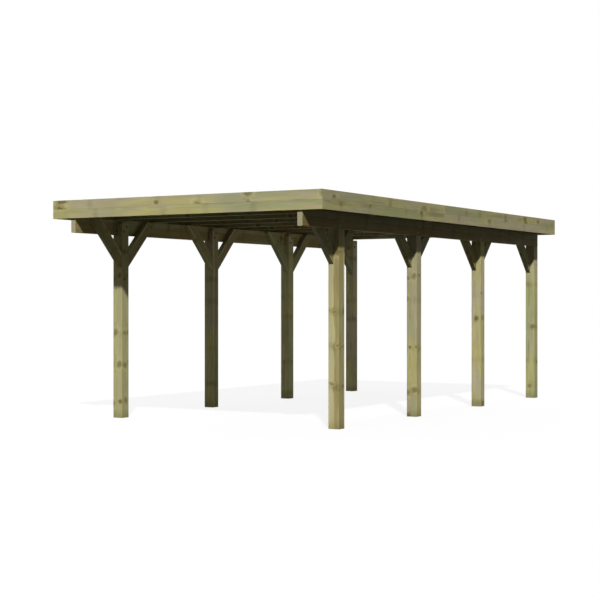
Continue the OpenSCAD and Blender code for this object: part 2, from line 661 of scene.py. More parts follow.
    def material(self) -> bpy.types.Material:
        """Builds the material.

        Returns:
            The material, for meshes that carry the attributes.
        """
        surface = Surface(self.name)
        grain = Grain(surface, *surface.split(surface.attribute("grain", "Vector")))
        bent = grain.bent()
        branch = self.branch(bent)
        figure = self.figure(grain, branch, bent.radius())
        latewood, streaks, end_cut = figure.latewood, figure.streaks, figure.end_cut

        tone = self.base_tone(grain, figure.sap)
        tone = self.growth_tone(surface, tone, branch, figure)
        tone = self.knot_tone(surface, tone, branch, figure)
        end_tone = surface.blend(latewood * 0.4, colour(self.sawn_end), colour(self.end_ring))
        tone = surface.blend(end_cut * 0.8, tone, end_tone)
        if self.damp_height:
            _, _, height = surface.split(surface.place())
            wicking = surface.noise(surface.join(grain.side * 20.0, grain.through * 20.0, 0.3))
            damp = surface.ramp(height / (wicking * 0.7 + 0.4), self.damp_height, 0.0)
            tone = surface.tint(tone, damp * 0.35, self.damp)

        relief = 0.55 + latewood * 0.25 + (streaks - 0.5) * 0.5
        relief = relief - figure.checks * 0.6 - figure.rim * 0.5
        rough = 0.74 - latewood * 0.08 + (streaks - 0.5) * 0.2
        rough = rough + end_cut * 0.15 - figure.core * 0.12
        return surface.finish(
            relief, self.relief_depth, Base_Color=tone, Roughness=rough, Specular_IOR_Level=0.1
        )


@dataclass(frozen=True)
class CoatedMetal:
    """Roof sheet with a matt coating, dulled by dust and dried rain."""

    name: str
    coat: Shade = (74, 77, 80)
    # The backing coat's dark olive-brown is partly its own colour and partly painted shade under
    # the roof.
    backing: Shade = (88, 77, 50)
    dust: Shade = (120, 116, 104)
    speck: Shade = (159, 157, 149)

    UNDERSIDE: ClassVar[Pair] = (0.0, -0.1)
    DRIFT_SCALE: ClassVar[Triple] = (3.0, 0.55, 20.0)
    RUN_SCALE: ClassVar[Pair] = (38.0, 0.8)
    SPECK_SCALE: ClassVar[float] = 420.0
    SPECK_DEPTH: ClassVar[float] = 0.0001
    DUST_EDGE: ClassVar[Pair] = (0.42, 0.66)

    def material(self) -> bpy.types.Material:
        """Builds the material.

        Returns:
            The material, which shows its backing coat, partly painted shade, on faces that look
            down.
        """
        surface = Surface(self.name)
        normal = surface.out(surface.node("ShaderNodeNewGeometry"), "True Normal")
        shaded_underside = surface.ramp(surface.split(normal)[2], *self.UNDERSIDE)
        place = surface.place()
        x, y, _ = surface.split(place)
        drift = surface.noise(surface.vector("MULTIPLY", place, self.DRIFT_SCALE), detail=4.0)
        across, along = self.RUN_SCALE
        runs = surface.noise(surface.join(x * across, y * along, 2.0), detail=3.0)
        speckle = surface.noise(place, scale=self.SPECK_SCALE)
        dusty = surface.ramp(drift * 0.6 + runs * 0.4, *self.DUST_EDGE)
        tone = surface.blend(dusty * 0.5, colour(self.coat), colour(self.dust))
        # The underside takes the backing colour, partly painted shade.
        tone = surface.tint(tone, shaded_underside, self.backing)
        tone = surface.tint(tone, (speckle - 0.5) * 0.5 + 0.05, self.speck)
        rough = 0.42 + dusty * 0.3 + (speckle - 0.5) * 0.12
        return surface.finish(speckle, self.SPECK_DEPTH, Base_Color=tone, Roughness=rough)


@dataclass(frozen=True)
class ZincPlate:
    """Zinc-plated steel of bolts and screws, a little stained."""

    name: str
    bright: Shade = (116, 104, 72)
    stain: Shade = (84, 72, 46)

    FLAKE_SCALE: ClassVar[float] = 330.0
    FLAKE_DEPTH: ClassVar[float] = 0.00008
    STAIN_SCALE: ClassVar[float] = 60.0
    STAIN_EDGE: ClassVar[Pair] = (0.45, 0.7)
    SHINE: ClassVar[float] = 0.25

    def material(self) -> bpy.types.Material:
        """Builds the material.

        Returns:
            The material.
        """
        surface = Surface(self.name)
        place = surface.place()
        flakes = surface.noise(place, scale=self.FLAKE_SCALE)
        cloudy = surface.noise(place, scale=self.STAIN_SCALE, detail=4.0)
        stains = surface.ramp(cloudy, *self.STAIN_EDGE)
        tone = surface.blend(stains * 0.7, colour(self.bright), colour(self.stain))
        rough = 0.55 + stains * 0.25 + (flakes - 0.5) * 0.15
        return surface.finish(
            flakes, self.FLAKE_DEPTH, Base_Color=tone, Roughness=rough, Metallic=self.SHINE
        )


@dataclass(frozen=True)
class Finishes:
    """The materials of the carport, each made once."""

    post: bpy.types.Material
    purlin: bpy.types.Material
    brace: bpy.types.Material
    rafter: bpy.types.Material
    fascia: bpy.types.Material
    roof: bpy.types.Material
    bolt: bpy.types.Material
    screw: bpy.types.Material

    @classmethod
    def make(cls) -> "Finishes":
        """Builds every material.

        Returns:
            The materials.
        """
        purlin = TreatedTimber(
            "purlin timber",
            yellow=(158, 144, 93),
            grey=(152, 141, 102),
            heartwood=(136, 119, 72),
            heart_radius=0.07,
        )
        # The rafter timber is darker than the rest, partly its own tone and partly painted shade
        # under the roof.
        rafter = TreatedTimber(
            "rafter timber",
            yellow=(138, 125, 76),
            grey=(130, 119, 84),
            heartwood=(118, 102, 60),
        )
        fascia = TreatedTimber(
            "fascia timber",
            heart_radius=0.04,
            heart_blur=0.009,
            whorl_spacing=0.6,
            knot_radius=0.028,
            knot_stretch=1.9,
            contrast=0.72,
        )
        screw = ZincPlate("coated screw steel", bright=(172, 160, 116), stain=(146, 134, 96))
        return cls(
            post=TreatedTimber("post timber", damp_height=0.16).material(),
            purlin=purlin.material(),
            brace=TreatedTimber("brace timber", heart_radius=0.05).material(),
            rafter=rafter.material(),
            fascia=fascia.material(),
            roof=CoatedMetal("coated roof sheet").material(),
            bolt=ZincPlate("dull zinc").material(),
            screw=screw.material(),
        )


# --------------------------------------------------------------------------
# Timbers
# --------------------------------------------------------------------------


@dataclass(frozen=True)
class Log:
    """Where in a log a timber was sawn, and how its wood looks.

    Each pair is the least and the most that the timber may have: the pith's place
    beside and behind the timber's middle, where along the log it starts, how much
    lighter, greener and greyer than usual it is, and the share of its branches that
    left a knot. On some pieces the lighter or darker is painted light or shade.
    """

    beside: Pair
    behind: Pair
    start: Pair = (0.0, 60.0)
    light: Pair = (-0.08, 0.08)
    green: Pair = (-0.2, 0.25)
    grey: Pair = (-0.3, 0.3)
    knotty: Pair = (0.35, 0.6)

    def chosen(self, **values: float) -> "Log":
        """The same log with some of its pairs narrowed to one value."""
        return replace(self, **{name: (value, value) for name, value in values.items()})


@dataclass(frozen=True)
class Extent:
    """The directions along, beside and behind a timber, and its reach along them."""

    axes: Matrix
    low: Vector
    high: Vector

    @classmethod
    def around(cls, corners: Sequence[bmesh.types.BMVert]) -> "Extent":
        """Measures one timber.

        Args:
            corners: The corners of the timber.

        Returns:
            Its extent, whose first axis follows its longest edge.
        """
        edges = {edge for corner in corners for edge in corner.link_edges}
        longest = max(edges, key=lambda edge: (round(edge.calc_length(), 6), edge.index))
        along = (longest.verts[1].co - longest.verts[0].co).normalized()
        if along[max(range(3), key=lambda k: abs(along[k]))] < 0:
            along.negate()
        level = Vector((0.0, 1.0, 0.0)) if abs(along.x) > 0.5 else Vector((1.0, 0.0, 0.0))
        behind = (level - level.dot(along) * along).normalized()
        axes = Matrix((along, behind.cross(along), behind))
        places = [axes @ corner.co for corner in corners]
        low = Vector(min(place[k] for place in places) for k in range(3))
        high = Vector(max(place[k] for place in places) for k in range(3))
        return cls(axes, low, high)

    def outside(self, place: Vector) -> float:
        """How far a place is outside the timber, added up over the directions."""
        local = self.axes @ place
        return sum(max(self.low[k] - local[k], local[k] - self.high[k], 0.0) for k in range(3))

    @staticmethod
    def holding(extents: Sequence["Extent"], place: Vector) -> int:
        """The number of the extent that a place lies in."""
        return min(range(len(extents)), key=lambda k: extents[k].outside(place))


@dataclass
class Timber:
    """A planed timber, or the like timbers of one node, over a construction solid."""

    node: str
    log: Log
    arris: float = 0.004
    end_arris: float = 0.001
    checks: int = 0
    check_depth: float = 0.011
    check_width: float = 0.0026
    dice: random.Random = field(init=False)

    ATTRIBUTES: ClassVar[tuple[tuple[str, str, str], ...]] = (
        ("grain", "FLOAT_VECTOR", "POINT"),
        ("piece", "FLOAT_VECTOR", "POINT"),
        ("knotty", "FLOAT", "POINT"),
        ("end_cut", "FLOAT", "FACE"),
    )
    ARRIS_STEPS: ClassVar[int] = 3
    SHARP: ClassVar[float] = math.radians(20)
    PARALLEL: ClassVar[float] = 0.999
    SAME_POINT: ClassVar[float] = 1e-5
    SAME_PLANE: ClassVar[float] = math.radians(0.5)
    ENDWAYS: ClassVar[float] = 0.6
    CHECK_STEPS: ClassVar[int] = 22
    CHECK_SPAN: ClassVar[Pair] = (0.28, 0.6)
    CHECK_ROOM: ClassVar[Pair] = (0.04, 0.9)
    CHECK_ASIDE: ClassVar[float] = 0.22
    CHECK_WANDER: ClassVar[float] = 0.0011
    CHECK_PROUD: ClassVar[float] = 0.001
    CHECK_TAPER: ClassVar[float] = 0.7
    CHECK_TIP: ClassVar[float] = 0.02
    CHECK_SPREAD: ClassVar[float] = 0.6

    def __post_init__(self) -> None:
        """Seeds the timber's own random numbers by its name."""
        self.dice = random.Random(zlib.crc32(self.node.encode()))

    @staticmethod
    def islands(mesh: bmesh.types.BMesh) -> list[list[bmesh.types.BMVert]]:
        """Finds the separate timbers of a mesh.

        Args:
            mesh: The mesh to search.

        Returns:
            The corners of each connected piece.
        """
        unseen = set(mesh.verts)
        found = []
        while unseen:
            first = min(unseen, key=lambda corner: corner.index)
            reached, waiting = {first}, [first]
            while waiting:
                for edge in waiting.pop().link_edges:
                    fresh = set(edge.verts) - reached
                    reached |= fresh
                    waiting += fresh
            found.append(sorted(reached, key=lambda corner: corner.index))
            unseen -= reached
        return found

    def arrises(
        self, mesh: bmesh.types.BMesh, extents: list[Extent], lengthways: bool
    ) -> list[bmesh.types.BMEdge]:
        """Finds the sharp arrises of a solid.

        Args:
            mesh: The solid.
            extents: The extent of each timber in it.
            lengthways: Whether the long arrises are wanted, or else those of the ends.

        Returns:
            The arrises.
        """
        found = []
        for edge in mesh.edges:
            start, end = (corner.co for corner in edge.verts)
            along = extents[Extent.holding(extents, (start + end) / 2)].axes[0]
            is_long = abs((end - start).normalized().dot(along)) > self.PARALLEL
            if is_long is lengthways and edge.calc_face_angle_signed(0.0) > self.SHARP:
                found.append(edge)
        return found

    def round_arrises(self, mesh: bmesh.types.BMesh) -> list[Extent]:
        """Rounds the long arrises well and those of the sawn ends a little.

        Args:
            mesh: The sharp solid, which is changed.

        Returns:
            The extent of each timber in it.
        """
        extents = [Extent.around(corners) for corners in self.islands(mesh)]
        for lengthways, size in ((True, self.arris), (False, self.end_arris)):
            bmesh.ops.bevel(
                mesh,
                geom=self.arrises(mesh, extents, lengthways),
                offset=size,
                offset_type="OFFSET",
                segments=self.ARRIS_STEPS,
                profile=0.5,
                affect="EDGES",
                clamp_overlap=True,
            )
        return extents

    def wedge(self, extent: Extent) -> bpy.types.Object:
        """Makes a thin wandering wedge that opens a drying check in one face.

        Args:
            extent: The timber's extent.

        Returns:
            The wedge, to be cut from the timber.
        """
        low, high = extent.low, extent.high
        length = high[0] - low[0]
        span = length * self.dice.uniform(*self.CHECK_SPAN)
        first_room, last_room = self.CHECK_ROOM
        start = low[0] + self.dice.uniform(first_room, last_room - span / length) * length
        face = self.dice.randrange(4)
        off, out = (1, 2) if face < 2 else (2, 1)
        outward = 1 if face % 2 else -1
        surface = high[out] if outward > 0 else low[out]
        middle = (low[off] + high[off]) / 2
        middle += self.dice.uniform(-self.CHECK_ASIDE, self.CHECK_ASIDE) * (high[off] - low[off])
        mesh = bmesh.new()
        rows = []
        for step in range(self.CHECK_STEPS + 1):
            share = step / self.CHECK_STEPS
            middle += self.dice.uniform(-self.CHECK_WANDER, self.CHECK_WANDER)
            opening = math.sin(math.pi * share) ** self.CHECK_TAPER + self.CHECK_TIP
            spread = self.CHECK_SPREAD * self.check_width * opening
            depth = self.check_depth * opening
            proud = self.CHECK_PROUD
            row = []
            for aside, height in ((-spread, proud), (spread, proud), (0.0, -depth)):
                place = Vector((0.0, 0.0, 0.0))
                place[0] = start + span * share
                place[off] = middle + aside
                place[out] = surface + outward * height
                row.append(mesh.verts.new(extent.axes.transposed() @ place))
            rows.append(row)
        for first, second in zip(rows, rows[1:]):
            for k in range(3):
                after = (k + 1) % 3
                mesh.faces.new((first[k], first[after], second[after], second[k]))
        mesh.faces.new(rows[0])
        mesh.faces.new(reversed(rows[-1]))
        bmesh.ops.recalc_face_normals(mesh, faces=mesh.faces)
        return mesh_object(mesh, f"{self.node}_check")

    def cut_checks(self, timber: bpy.types.Object, extent: Extent) -> None:
        """Cuts the drying checks out of the timber.

        Args:
            timber: The timber, which is changed.
            extent: Its extent.
        """
        for _ in range(self.checks):
            wedge = self.wedge(extent)
            cut = timber.modifiers.new("check", "BOOLEAN")
            cut.operation = "DIFFERENCE"
            cut.solver = "EXACT"
            cut.object = wedge
            bake_modifiers(timber)
            remove(wedge)

    def pith(self, extent: Extent) -> Vector:
        """Draws where the pith of a timber's log lies.

        Args:
            extent: The timber's extent.

        Returns:
            The start of the log's pith, along the timber's axes.
        """
        start = self.dice.uniform(*self.log.start)
        beside = self.dice.uniform(*self.log.beside)
        behind = self.dice.uniform(*self.log.behind)
        pith = (extent.low + extent.high) / 2 + Vector((0.0, beside, behind))
        pith[0] = extent.low[0] - start
        return pith

    def write_grain(self, mesh: bpy.types.Mesh, extents: list[Extent]) -> None:
        """Stores each corner's place in the log, and which faces are sawn ends.

        Args:
            mesh: The finished mesh.
            extents: The extent of each timber in it.
        """
        for name, kind, domain in self.ATTRIBUTES:
            mesh.attributes.new(name, kind, domain)
        grain, piece, knotty, end_cut = (mesh.attributes[name] for name, _, _ in self.ATTRIBUTES)
        log = self.log
        look = [self.dice.uniform(*pair) for pair in (log.light, log.green, log.grey)]
        share = self.dice.uniform(*log.knotty)
        piths = [self.pith(extent) for extent in extents]
        for corner in mesh.vertices:
            which = Extent.holding(extents, corner.co)
            grain.data[corner.index].vector = extents[which].axes @ corner.co - piths[which]
            piece.data[corner.index].vector = look
            knotty.data[corner.index].value = share
        for face in mesh.polygons:
            along = extents[Extent.holding(extents, face.center)].axes[0]
            across_grain = abs(face.normal.dot(along)) > self.ENDWAYS
            end_cut.data[face.index].value = float(across_grain)

    def build(self, frame: dict[str, Any], finish: bpy.types.Material, slot: str) -> None:
        """Makes the timber from its construction solid, riding on the carport.

        Args:
            frame: The loaded construction model.
            finish: The timber's material.
            slot: Not used.
        """
        mesh = bmesh.new()
        mesh.from_mesh(frame["nodes"][self.node].data)
        bmesh.ops.remove_doubles(mesh, verts=mesh.verts, dist=self.SAME_POINT)
        bmesh.ops.dissolve_limit(
            mesh,
            angle_limit=self.SAME_PLANE,
            verts=mesh.verts,
            edges=mesh.edges,
            use_dissolve_boundaries=False,
        )
        mesh.verts.index_update()
        mesh.edges.index_update()
        extents = self.round_arrises(mesh)
        timber = mesh_object(mesh, f"{self.node}_timber")
        self.cut_checks(timber, extents[0])
        self.write_grain(timber.data, extents)
        smooth_by_size(timber)
        timber.data.materials.clear()
        timber.data.materials.append(finish)
        settle(timber)
        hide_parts(self.node)
        LOG.info("%s: %d faces", timber.name, len(timber.data.polygons))


def mesh_object(mesh: bmesh.types.BMesh, name: str) -> bpy.types.Object:
    """Turns a bmesh into an object of the scene and frees it.

    Args:
        mesh: The mesh, with its place in it.
        name: The object's name.

    Returns:
        The object, at the origin.
    """
    data = bpy.data.meshes.new(name)
    mesh.to_mesh(data)
    mesh.free()
    made = bpy.data.objects.new(name, data)
    bpy.context.scene.collection.objects.link(made)
    return made


def bake_modifiers(made: bpy.types.Object) -> None:
    """Replaces an object's mesh with the result of its modifiers, and clears them.

    Args:
        made: The object, which is changed.
    """
    bpy.context.view_layer.update()
    graph = bpy.context.evaluated_depsgraph_get()
    result = bpy.data.meshes.new_from_object(made.evaluated_get(graph), depsgraph=graph)
    old = made.data
    made.modifiers.clear()
    made.data = result
    result.name = made.name
    bpy.data.meshes.remove(old)


def remove(made: bpy.types.Object) -> None:
    """Deletes a helper object with its mesh.

    Args:
        made: The helper.
    """
    data = made.data
    bpy.data.objects.remove(made)
    bpy.data.meshes.remove(data)


def smooth_by_size(made: bpy.types.Object, sharp: float = math.radians(40)) -> None:
    """Shades rounded arrises smoothly and keeps the broad faces flat.

    Args:
        made: The object, which is changed.
        sharp: The angle between two faces from which their edge stays sharp.
    """
    made.data.shade_smooth()
    made.data.set_sharp_from_angle(angle=sharp)
    weigh = made.modifiers.new("weigh normals", "WEIGHTED_NORMAL")
    weigh.keep_sharp = True
    bake_modifiers(made)


def settle(made: bpy.types.Object) -> None:
    """Lets a finished piece ride on the carport."""
    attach(made, BODY)


# --------------------------------------------------------------------------
# Fixings
# --------------------------------------------------------------------------


class Head(Enum):
    """Kinds of fixing that show."""

    BOARD_SCREW = "board_screws"
    BOLT_DOME = "bolt_domes"
    NUT = "nuts"
    ROOF_SCREW = "roof_screws"


@dataclass(frozen=True)
class HeadSize:
    """Sizes of a fixing's head and washer."""

    sides: int
    radius: float
    height: float
    recess: float = 0.0
    washer_radius: float = 0.0
    washer_height: float = 0.0


HEAD_SIZES = {
    Head.BOARD_SCREW: HeadSize(12, radius=0.0042, height=0.0006, recess=0.0016),
    Head.BOLT_DOME: HeadSize(16, radius=0.0105, height=0.0052),
    Head.NUT: HeadSize(
        6, radius=0.0098, height=0.0085, washer_radius=0.0150, washer_height=0.0020
    ),
    Head.ROOF_SCREW: HeadSize(
        6, radius=0.0046, height=0.0052, washer_radius=0.0095, washer_height=0.0022
    ),
}


@dataclass(frozen=True)
class Fixing:
    """One fixing: where its head sits and the way that it faces."""

    place: Vector
    facing: Vector


class FixingTree(Graph):
    """Geometry Nodes that put a head on every point of a mesh.

    Its inputs stand in the order of a head's sizes.
    """

    INPUTS: ClassVar[dict[str, str]] = {
        "Sides": "NodeSocketInt",
        "Radius": "NodeSocketFloat",
        "Height": "NodeSocketFloat",
        "Recess": "NodeSocketFloat",
        "Washer radius": "NodeSocketFloat",
        "Washer height": "NodeSocketFloat",
    }
    RECESS_SHARE: ClassVar[float] = 0.45
    DOME_RINGS: ClassVar[int] = 6
    WASHER_SIDES: ClassVar[int] = 20
    UPWARD: ClassVar[float] = 0.9
    SEED: ClassVar[int] = 7

    def __init__(self, head: Head, finish: bpy.types.Material) -> None:
        """Builds the tree.

        Args:
            head: The kind of fixing.
            finish: The fixing's material.
        """
        tree = bpy.data.node_groups.new(head.value, "GeometryNodeTree")
        super().__init__(tree)
        sockets = tree.interface.new_socket
        sockets("Geometry", in_out="INPUT", socket_type="NodeSocketGeometry")
        self.identifiers = [
            sockets(name, in_out="INPUT", socket_type=kind).identifier
            for name, kind in self.INPUTS.items()
        ]
        sockets("Geometry", in_out="OUTPUT", socket_type="NodeSocketGeometry")
        source = self.node("NodeGroupInput")
        self.given = {name: self.out(source, name) for name in self.INPUTS}
        shapes = {
            Head.BOARD_SCREW: self.recessed,
            Head.BOLT_DOME: self.dome,
            Head.NUT: self.on_washer,
            Head.ROOF_SCREW: self.on_washer,
        }
        self.place_heads(self.out(source, "Geometry"), shapes[head](), finish)

    def moved(self, shape: Value, **change: Value) -> Value:
        """Shifts or scales a shape."""
        return self.out(self.node("GeometryNodeTransform", None, {"Geometry": shape, **change}))

    def drum(self, sides: Any, radius: Any, height: Any) -> Value:
        """Makes a closed prism that stands on the surface.

        Args:
            sides: How many sides it has.
            radius: Its radius to the corners.
            height: Its height.

        Returns:
            The prism.
        """
        sockets = {"Vertices": sides, "Radius": radius, "Depth": height}
        made = self.node("GeometryNodeMeshCylinder", None, sockets)
        return self.moved(self.out(made, "Mesh"), Translation=self.join(0.0, 0.0, height * 0.5))

    def prism(self) -> Value:
        """The head's own prism."""
        return self.drum(self.given["Sides"], self.given["Radius"], self.given["Height"])

    def dome(self) -> Value:
        """Makes a flattened ball, half of it in the timber.

        Returns:
            The ball.
        """
        radius = self.given["Radius"]
        sockets = {"Segments": self.given["Sides"], "Rings": self.DOME_RINGS, "Radius": radius}
        ball = self.out(self.node("GeometryNodeMeshUVSphere", None, sockets), "Mesh")
        return self.moved(ball, Scale=self.join(1.0, 1.0, self.given["Height"] / radius))

    def recessed(self) -> Value:
        """Makes a prism with a recess in its top.

        Returns:
            The prism.
        """
        _, _, rise = self.split(self.out(self.node("GeometryNodeInputNormal")))
        whole = {"Individual": False}
        top = self.math("GREATER_THAN", rise, self.UPWARD)
        inset = self.node(
            "GeometryNodeExtrudeMesh",
            {"mode": "FACES"},
            {"Mesh": self.prism(), "Selection": top, "Offset Scale": 0.0, **whole},
        )
        picked = {"Selection": self.out(inset, "Top")}
        shrunk = self.node(
            "GeometryNodeScaleElements",
            {"domain": "FACE"},
            {"Geometry": self.out(inset, "Mesh"), "Scale": self.RECESS_SHARE, **picked},
        )
        depth = 0.0 - self.given["Recess"]
        sunk = self.node(
            "GeometryNodeExtrudeMesh",
            {"mode": "FACES"},
            {"Mesh": self.out(shrunk), "Offset Scale": depth, **picked, **whole},
        )
        return self.out(sunk, "Mesh")

    def on_washer(self) -> Value:
        """Makes a prism that stands on a washer.

        Returns:
            The prism and its washer.
        """
        thickness = self.given["Washer height"]
        raised = self.moved(self.prism(), Translation=self.join(0.0, 0.0, thickness))
        washer = self.drum(self.WASHER_SIDES, self.given["Washer radius"], thickness)
        joined = self.node("GeometryNodeJoinGeometry")
        for part in (raised, washer):
            self.tree.links.new(part.socket, joined.inputs[0])
        return self.out(joined)

    def place_heads(self, points: Value, shape: Value, finish: bpy.types.Material) -> None:
        """Puts the shape on the points, turned to face outwards, and ends the tree.

        Args:
            points: The points, which carry the attribute "facing".
            shape: The head.
            finish: The head's material.
        """
        facing = self.node(
            "GeometryNodeInputNamedAttribute", {"data_type": "FLOAT_VECTOR"}, {"Name": "facing"}
        )
        turn = self.node(
            "FunctionNodeAlignRotationToVector",
            {"axis": "Z"},
            {"Vector": self.out(facing, "Attribute")},
        )
        draw = self.node(
            "FunctionNodeRandomValue",
            {"data_type": "FLOAT"},
            {"Min": 0.0, "Max": math.tau, "Seed": self.SEED},
        )
        angle = next(socket for socket in draw.outputs if socket.enabled)
        spin = self.node(
            "FunctionNodeAxisAngleToRotation", None, {"Axis": (0.0, 0.0, 1.0), "Angle": angle}
        )
        spun = self.node(
            "FunctionNodeRotateRotation",
            {"rotation_space": "LOCAL"},
            {"Rotation": self.out(turn), "Rotate By": self.out(spin)},
        )
        set_on = self.node(
            "GeometryNodeInstanceOnPoints",
            None,
            {"Points": points, "Instance": shape, "Rotation": self.out(spun)},
        )
        real = self.node("GeometryNodeRealizeInstances", None, {"Geometry": self.out(set_on)})
        dressed = self.node(
            "GeometryNodeSetMaterial", None, {"Geometry": self.out(real), "Material": finish}
        )
        self.node("NodeGroupOutput", None, {"Geometry": self.out(dressed)})


def add_fixings(
    name: str, head: Head, fixings: Iterable[Fixing], finish: bpy.types.Material
) -> None:
    """Makes one piece of all the fixings of a kind on a sub-assembly.

    Args:
        name: The piece's name.
        head: The kind of fixing.
        fixings: Where they are.
        finish: Their material.
    """
    fixings = list(fixings)
    mesh = bmesh.new()
    for fixing in fixings:
        mesh.verts.new(fixing.place)
    made = mesh_object(mesh, name)
    facing = made.data.attributes.new("facing", "FLOAT_VECTOR", "POINT")
    for k, fixing in enumerate(fixings):
        facing.data[k].vector = fixing.facing
    tree = FixingTree(head, finish)
    heads = made.modifiers.new("heads", "NODES")
    heads.node_group = tree.tree
    for identifier, size in zip(tree.identifiers, astuple(HEAD_SIZES[head])):
        heads[identifier] = size
    bake_modifiers(made)
    settle(made)
    LOG.info("%s: %d fixings, %d faces", name, len(fixings), len(made.data.polygons))


# --------------------------------------------------------------------------
# Sub-assemblies
# --------------------------------------------------------------------------


BOXED_HEART = Log(beside=(-0.02, 0.02), behind=(-0.02, 0.02))
POST_LOGS = {
    "post_left_1": BOXED_HEART.chosen(
        beside=-0.026, behind=-0.024, start=12.295, light=-0.1, green=0.22, grey=-0.5, knotty=1.0
    ),
    "post_left_2": BOXED_HEART.chosen(beside=-0.010, behind=0.016, light=0.0, knotty=0.0),
    # The third and fourth left posts are lighter, partly their own tone and partly painted light in
    # the shade under the roof.
    "post_left_3": BOXED_HEART.chosen(
        beside=-0.022, behind=-0.02, light=0.22, green=0.3, knotty=0.0
    ),
    "post_left_4": BOXED_HEART.chosen(
        beside=-0.022, behind=-0.02, light=0.34, grey=0.2, knotty=0.15
    ),
    "post_right_1": BOXED_HEART.chosen(
        beside=0.018, behind=0.045, start=58.254, light=0.06, green=0.0, grey=-0.4, knotty=0.5
    ),
    "post_right_2": BOXED_HEART.chosen(
        beside=-0.020, behind=-0.022, start=28.058, light=-0.1, green=-0.25, grey=-0.1, knotty=0.7
    ),
    "post_right_3": BOXED_HEART.chosen(
        beside=-0.026, behind=-0.024, light=-0.02, green=-0.2, grey=0.1, knotty=0.3
    ),
    "post_right_4": BOXED_HEART.chosen(
        beside=-0.024, behind=-0.010, start=33.327, light=0.0, green=0.15, knotty=0.35
    ),
}


@dataclass
class SubAssembly:
    """A group of pieces of the carport, which is built and dressed in one go."""

    frame: dict[str, Any]
    finishes: Finishes

    def build(self) -> None:
        """Makes the pieces, each sub-assembly in its own way."""
        raise NotImplementedError


@dataclass
class PostRow(SubAssembly):
    """The notched posts of one side, bolted to their purlin."""

    side: Side
    arris: float = 0.005
    bolt_rises: Pair = (0.036, 0.092)
    bolt_asides: Pair = (-0.021, 0.021)

    def build(self) -> None:
        """Makes the posts and their bolts."""
        away = Vector((self.side.outward, 0.0, 0.0))
        row = self.side.value
        purlin_low, purlin_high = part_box(f"purlin_{row}")
        outer = purlin_high.x if self.side.outward > 0 else purlin_low.x
        domes, nuts = [], []
        for number in range(1, POSTS_PER_ROW + 1):
            node = f"post_{row}_{number}"
            post = Timber(node, POST_LOGS[node], arris=self.arris, checks=1 + number % 2)
            post.build(self.frame, self.finishes.post, "post_timber")
            low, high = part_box(node)
            inner = low.x if self.side.outward > 0 else high.x
            middle = (low.y + high.y) / 2
            for rise, aside in zip(self.bolt_rises, self.bolt_asides):
                height = purlin_low.z + rise
                domes.append(Fixing(Vector((outer, middle + aside, height)), away))
                nuts.append(Fixing(Vector((inner, middle + aside, height)), -away))
        steel = self.finishes.bolt
        add_fixings(f"purlin_bolts_{row}", Head.BOLT_DOME, domes, steel)
        add_fixings(f"purlin_nuts_{row}", Head.NUT, nuts, steel)


@dataclass
class Purlins(SubAssembly):
    """The long beams in the posts' notches."""

    log: Log = Log(beside=(-0.06, 0.06), behind=(0.03, 0.07), knotty=(0.1, 0.3))
    check_depth: float = 0.008
    # The right purlin is darker as painted shade under the overhang of the roof, and the left one
    # lighter as painted light on its shaded inner face.
    lightness: dict[Side, float] = field(
        default_factory=lambda: {Side.LEFT: 0.12, Side.RIGHT: -0.3}
    )

    def build(self) -> None:
        """Makes both purlins."""
        for side, light in self.lightness.items():
            log = self.log.chosen(light=light)
            purlin = Timber(f"purlin_{side.value}", log, checks=1, check_depth=self.check_depth)
            purlin.build(self.frame, self.finishes.purlin, "purlin_timber")


@dataclass
class KneeBraces(SubAssembly):
    """The braces of one side, screwed to posts and purlin."""

    side: Side
    log: Log = Log(beside=(-0.04, 0.04), behind=(0.02, 0.06))
    # The right braces are darker as painted shade under the overhang of the roof.
    lightness: dict[Side, float] = field(
        default_factory=lambda: {Side.LEFT: 0.0, Side.RIGHT: -0.22}
    )
    foot_inset: float = 0.045
    foot_shares: Pair = (0.28, 0.72)
    head_rises: Pair = (0.045, 0.115)
    head_inset: float = 0.078

    def screws(self, post: str, braces: str) -> list[Fixing]:
        """Places the screws at the feet and heads of a post's braces.

        Args:
            post: The post's node.
            braces: The node of its braces.

        Returns:
            Two screws at each end of each brace.
        """
        low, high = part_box(braces)
        post_low, post_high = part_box(post)
        purlin_low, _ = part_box(f"purlin_{self.side.value}")
        inner = low.x if self.side.outward > 0 else high.x
        inward = Vector((-self.side.outward, 0.0, 0.0))
        found = []
        for facing, face, reach in ((-1, post_low.y, low.y), (1, post_high.y, high.y)):
            if facing * (reach - face) < self.foot_inset:
                continue
            underside = Vector((0.0, facing, -1.0)).normalized()
            foot = Vector((0.0, face + facing * self.foot_inset, low.z + self.foot_inset))
            for share in self.foot_shares:
                foot.x = low.x + share * (high.x - low.x)
                found.append(Fixing(foot.copy(), underside))
            for rise in self.head_rises:
                height = purlin_low.z + rise
                lower_edge = face + facing * (height - low.z)
                place = Vector((inner, lower_edge - facing * self.head_inset, height))
                found.append(Fixing(place, inward))
        return found

    def build(self) -> None:
        """Makes the braces and their screws."""
        row = self.side.value
        screws = []
        log = self.log.chosen(light=self.lightness[self.side])
        for number in range(1, POSTS_PER_ROW + 1):
            node = f"braces_{row}_{number}"
            Timber(node, log).build(self.frame, self.finishes.brace, "brace_timber")
            screws += self.screws(f"post_{row}_{number}", node)
        steel = self.finishes.screw
        add_fixings(f"brace_screws_{row}", Head.BOARD_SCREW, screws, steel)


@dataclass
class Rafters(SubAssembly):
    """The rafters across the purlins."""

    log: Log = Log(beside=(-0.05, 0.05), behind=(0.03, 0.08))
    arris: float = 0.003

    def build(self) -> None:
        """Makes the rafters."""
        for number in range(1, RAFTERS + 1):
            rafter = Timber(f"rafter_{number}", self.log, arris=self.arris)
            rafter.build(self.frame, self.finishes.rafter, "rafter_timber")


